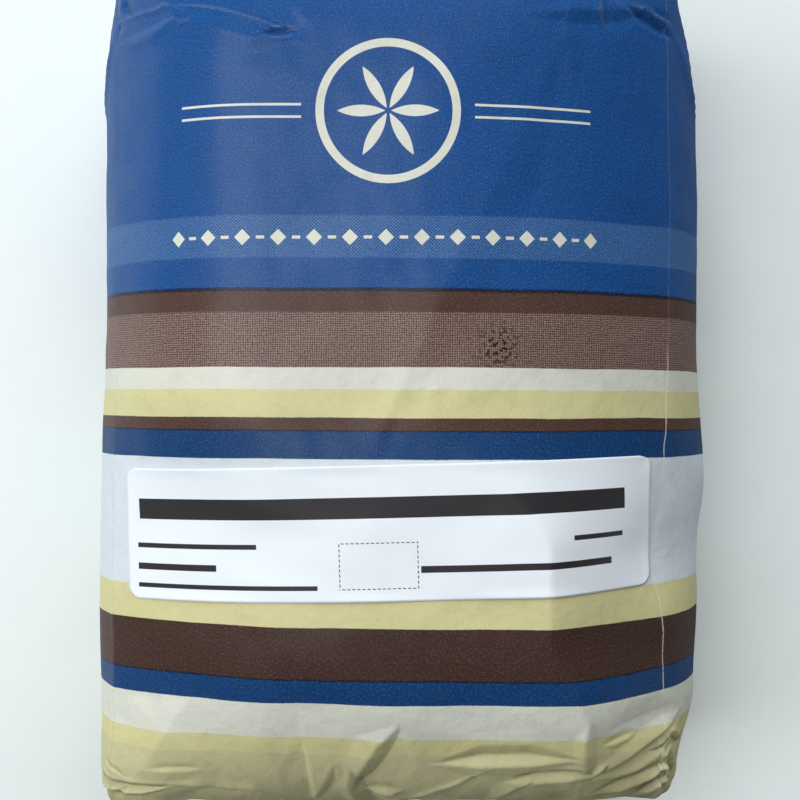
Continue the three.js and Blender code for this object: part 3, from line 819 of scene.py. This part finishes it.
def painted_bottom_shade(colour, x, y, place):
    """Painted shade in soft clouds along the bottom edge, darker on the right half."""
    clouds = clamped((grain(place, 0.12, 4, 0.6) - 0.2) * 2)
    # painted shade, strongest along the bottom edge and fading away from it
    bottom_shade = clouds / (((y - BOTTOM_SHADE_Y) / BOTTOM_SHADE_HALF) ** 4 + 1)
    return colour.tint(DIRT_AND_SHADE, bottom_shade * (0.4 + clamped((x + 4) / 30) * 0.35))


def printed_paper():
    """The bag's own material, worked out from places on the paper. A satin skin, weaker to the
    right, towards the bottom and on the side panels, lies over a slightly uneven sheet."""
    material, shader = new_finish(
        "printed_paper", IOR=1.5, Specular_IOR_Level=0, Coat_IOR=1.5, Coat_Roughness=0.3)
    x, y, place = paper_places(material)
    off_crease = stored_mm(material, "off_crease")
    drift = (grain(place, 0.05) - 0.5) * 0.5
    ragged = (grain(place, 2.4, 2, 0.6) - 0.5) * 0.16
    line = y + drift + x * PRINT_SLANT + ragged
    blot = grain(place, 2.2, 3, 0.7)
    mottle = grain(place, 0.22, 5, 0.62)
    ornaments = ornament_print(x, y)

    colour = stripe_print(x, y, place, line, blot).tint(WHITE, ornaments)
    colour = uneven_ink(colour, x, y, place, line, mottle, ornaments)
    colour = wear_and_valley_shade(colour, material, x, y, place, off_crease)
    colour = painted_bottom_shade(colour, x, y, place)

    rough = 0.4 + mottle * 0.2 + clamped((blot - 0.55) * 4) * 0.1
    to_right = clamped((x - 24) / 22)
    to_bottom = clamped((-58 - y) / 12)
    on_side = clamped(off_crease * 0.5)
    skin = (1 - to_right * 0.6) * (1 - to_bottom * 0.8) * (1 - on_side * 0.35)
    skin = skin * (0.32 + mottle * 0.4)
    height = grain(place, 0.3, 4, 0.6) * 0.45 + blot * 0.04
    bump = height.node("ShaderNodeBump", (("Height", height), ("Distance", MM), ("Strength", 0.6)))
    feed(material, shader, Base_Color=colour, Roughness=rough, Coat_Weight=skin, Normal=bump)
    return material


PRINTED = printed_paper()
bag.data.materials.append(PRINTED)


# ---- The folded ends ----
# Bottom: the front flap, then the back flap glued over it; the side ears folded in under them are not
# made. Top: the flattened mouth folded down towards the back and glued. All of it is the bag's own
# paper.


def closed_sheet(outer, inner):
    """Points and faces of a thin closed sheet between two grids of points, as rings that run out
    over the outer grid and back along the inner one, shut at both ends."""
    ring = np.concatenate([outer, inner[:, ::-1]], 1)
    rows, columns = ring.shape[:2]
    half = columns // 2
    i = np.arange(half - 1)
    back = columns - 1 - i
    first = np.stack([i, back, back - 1, i + 1], 1)
    last = np.stack([i, i + 1, back - 1, back], 1) + (rows - 1) * columns
    faces = np.concatenate([ring_quads(rows, columns), first, last])
    return ring.reshape(-1, 3), faces.tolist()


def both_sides(values):
    """A number for each point of a closed sheet, the same on its inner grid as on its outer one."""
    return np.concatenate([values, values[:, ::-1]], 1).ravel()


LAYER_SUNK = -0.5                 # how deep a folded layer starts, under the end face
LAYER_MOST = 0.95                 # and how far out it may stand
LAYER_THICKNESS = 0.35
LAYER_CURL = 0.3                  # how far its free edge lifts


def end_layer(name, end, z_start, z_end, half_start, half_end, lift, seed):
    """A folded layer lying on an end face: a strip from one height to another that narrows as it
    goes, rising out of the edge it is folded at, with a slightly wavy free edge."""
    u = np.linspace(-1, 1, 121)[None, :]
    v = np.linspace(0, 1, 61)[:, None]
    x = u * blend(half_start, half_end, v)
    z = blend(z_start, z_end, v) + 0 * u
    ripple = waves(x, z, seed, count=8, shortest=6, longest=30, size=0.22)
    ripple += crumple(x, z, seed + 1, count=40, low=0, high=60, size=0.07)
    stand = blend(LAYER_SUNK, lift, ease(v, 0, 0.2)) + ripple * 0.5 + LAYER_CURL * v**8
    face = EDGE_Y + face_bulge(x, z)
    out = np.clip(stand, LAYER_SUNK, LAYER_MOST)
    outer = np.stack([x, end * (face + out), z], 2)
    inner = np.stack([x, end * (face + out - LAYER_THICKNESS), z], 2)
    points, faces = closed_sheet(outer, inner)
    piece = mesh_piece(name, points, faces, PRINTED)
    paper = np.abs(z - z_start) + EDGE_Y
    store(piece, "paper_across", both_sides(x) * MM)
    store(piece, "paper_along", end * both_sides(paper) * MM)
    store(piece, "off_crease", np.full(len(points), NO_CREASE * MM))
    store(piece, "off_seam", np.full(len(points), NO_SEAM * MM))
    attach(piece, "root")
    if end * (z_end - z_start) > 0:
        piece.data.flip_normals()


FLAP_START = 24.0
FLAP_OVERLAP = 9.0
FLAP_HALF_BASE = 50.0
FLAP_HALF_TIP = FLAP_HALF_BASE - FLAP_START - FLAP_OVERLAP
FIN_HALF_WIDTH = 52.0
FIN_HEIGHT = 22.0

end_layer("bottom_front_flap", -1, END_MID_Z + FLAP_START, END_MID_Z - FLAP_OVERLAP,
          FLAP_HALF_BASE, FLAP_HALF_TIP, lift=0.27, seed=21)
end_layer("bottom_back_flap", -1, END_MID_Z - FLAP_START, END_MID_Z + FLAP_OVERLAP,
          FLAP_HALF_BASE, FLAP_HALF_TIP, lift=0.72, seed=23)
end_layer("top_fold", 1, END_MID_Z, END_MID_Z - FIN_HEIGHT,
          FIN_HALF_WIDTH, FIN_HALF_WIDTH, lift=0.72, seed=25)


# ---- The sticker ----
# White self-adhesive paper, die-cut with round corners and laid on by hand, a little crooked. Its
# print is plain dark bars and one small dashed frame.

STICKER_WIDTH = 98.0
STICKER_HEIGHT = 24.4
STICKER_CORNER = 2.3
STICKER_X = -2.7
STICKER_Y = -26.2
STICKER_TURN = math.radians(1.4)
STICKER_THICKNESS = 0.12
STICKER_GLUE = 0.1                # the gap under it
STICKER_CURL = 0.25               # how far its edge lifts at most, in waves along it
STICKER_CURL_WIDTH = 1.2


def front_point(x, y, lift):
    """Points that stand off the front by its relief and a lift, square to the smooth front."""
    step = 0.05
    slope_x = (front_height(x + step, y) - front_height(x - step, y)) / (2 * step)
    slope_y = (front_height(x, y + step) - front_height(x, y - step)) / (2 * step)
    normal = np.stack([-slope_x, -slope_y, 1 + 0 * x], 2)
    normal /= np.linalg.norm(normal, axis=2, keepdims=True)
    off = paper_relief(x, y) + lift
    return np.stack([x, y, front_height(x, y)], 2) + normal * off[:, :, None]


def sticker_grid(columns, rows):
    """A rectangle with quarter-round corners: each row is shortened by the corner's circle."""
    b = np.linspace(-1, 1, rows)[:, None] * STICKER_HEIGHT / 2
    into = np.maximum(0, np.abs(b) - (STICKER_HEIGHT / 2 - STICKER_CORNER))
    cut = STICKER_CORNER - np.sqrt(np.maximum(0, STICKER_CORNER**2 - into**2))
    a = np.linspace(-1, 1, columns)[None, :] * (STICKER_WIDTH / 2 - cut)
    return a, b + 0 * a


a, b = sticker_grid(221, 61)
sticker_x = STICKER_X + a * math.cos(STICKER_TURN) - b * math.sin(STICKER_TURN)
sticker_y = STICKER_Y + a * math.sin(STICKER_TURN) + b * math.cos(STICKER_TURN)
edge = np.minimum(STICKER_WIDTH / 2 - np.abs(a), STICKER_HEIGHT / 2 - np.abs(b))
curl = hill(edge, STICKER_CURL_WIDTH) * (0.5 + 0.5 * np.sin(a * 0.21 + b * 0.3))
lift = STICKER_GLUE + STICKER_CURL * curl
points, faces = closed_sheet(front_point(sticker_x, sticker_y, lift + STICKER_THICKNESS),
                             front_point(sticker_x, sticker_y, lift))
sticker = mesh_piece("sticker", points, faces)
store(sticker, "paper_across", both_sides(a) * MM)
store(sticker, "paper_along", both_sides(b) * MM)

# The bars that stand for its lines of print: left end, right end, height and half thickness.
STICKER_BARS = (
    (-46.5, 43.5, 4.6, 1.9), (-47, -24, -2.2, 0.45), (-47, -31.5, -6.1, 0.6),
    (-47, -13, -9.6, 0.42), (33, 43, -1.9, 0.45), (5.5, 40.5, -6.6, 0.62),
)
STICKER_FRAME = (-2.0, -5.8, 7.0, 4.1)    # its middle across and up, and its half sizes
DASH_PITCH = 0.9
LABEL_WHITE = srgb(236, 244, 251)
LABEL_SHADE = srgb(205, 214, 225)
LABEL_INK = srgb(34, 32, 36)


def label_paper():
    """Smooth white label paper with plain dark bars."""
    material, shader = new_finish("label_paper", IOR=1.5, Specular_IOR_Level=0.3)
    x, y, place = paper_places(material)
    middle_x, middle_y, half_x, half_y = STICKER_FRAME
    box = (abs(x - middle_x) - half_x).most(abs(y - middle_y) - half_y)
    dashes = ((x + y) * (2 * math.pi / DASH_PITCH)).sin().below(0.3, 0.3)
    printed = abs(box).below(0.09) * dashes
    for left, right, height, half in STICKER_BARS:
        bar = abs(x - (left + right) / 2).below((right - left) / 2) * abs(y - height).below(half)
        printed = printed.most(bar)
    paper = grain(place, 3, 3)
    colour = plain(paper, LABEL_WHITE).tint(LABEL_SHADE, paper * 0.25)
    colour = colour.tint(LABEL_INK, printed * 0.985)
    bump = paper.node("ShaderNodeBump", (("Height", paper), ("Distance", 0.02 * MM)))
    feed(material, shader, Base_Color=colour, Roughness=0.4 + paper * 0.15, Normal=bump)
    return material


sticker.data.materials.append(label_paper())
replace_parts(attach(sticker, "root"), "label")


# ---- The table and the light ----
# A plain pale table top. Soft daylight comes from the upper left, so that the shadow falls to the
# right and a little down.

TABLE_HALF = 6000

table_corners = np.array([(-1, -1, 0), (1, -1, 0), (1, 1, 0), (-1, 1, 0)]) * TABLE_HALF
table = mesh_piece("table", table_corners, [(0, 1, 2, 3)], smooth=False)
table_top, shader = new_finish("table_top", Roughness=0.6)
dust = add_node(table_top.node_tree, "ShaderNodeTexNoise", (("Scale", 900), ("Detail", 2)))
tone = plain(dust, srgb(240, 249, 249)).tint(srgb(228, 238, 239), dust * 0.4)
feed(table_top, shader, Base_Color=tone)
table.data.materials.append(table_top)

world = bpy.data.worlds.new("room")
world.use_nodes = True
room_glow = world.node_tree.nodes["Background"].inputs
room_glow["Color"].default_value = (0.86, 0.95, 1, 1)
room_glow["Strength"].default_value = 0.012
bpy.context.scene.world = world


LAMP_AIM = Vector((0, 0, 0.04))


def lamp(name, place, size, power, seen=False):
    """A square soft light at a place in metres, aimed at the bag. Only one that is seen shows as a
    gleam on the print."""
    light = bpy.data.lights.new(name, "AREA")
    light.size, light.energy = size, power
    piece = bpy.data.objects.new(name, light)
    bpy.context.scene.collection.objects.link(piece)
    piece.location = place
    piece.rotation_euler = (LAMP_AIM - Vector(place)).to_track_quat("-Z", "Y").to_euler()
    piece.visible_glossy = seen


lamp("window", (-1.1, 0, 0.62), 1.1, 7.2)
lamp("ceiling", (-0.45, 0.1, 1.15), 0.9, 6.6, seen=True)
lamp("second_window", (0.1, 1.0, 0.72), 1.1, 9.6)
lamp("wall", (0.7, 0.7, 0.9), 1.1, 1.9)
lamp("ceiling_behind", (0, 0.5, 1.3), 1.0, 2.4)


# ---- The camera ----
# It looks straight down from 350 mm over the table, a little below the bag's middle, as near as
# the photograph was taken.

PICTURE = 800                     # the photograph's side, in pixels
FOCAL_PIXELS = 1522
CAMERA_PLACE = (-0.8, -2.5, 350)

view = bpy.data.cameras.new("camera")
view.sensor_width = 36
view.lens = FOCAL_PIXELS * view.sensor_width / PICTURE
camera = bpy.data.objects.new("camera", view)
camera.location = np.array(CAMERA_PLACE) * MM
bpy.context.scene.collection.objects.link(camera)
bpy.context.scene.camera = camera
bpy.context.scene.view_settings.view_transform = "Standard"
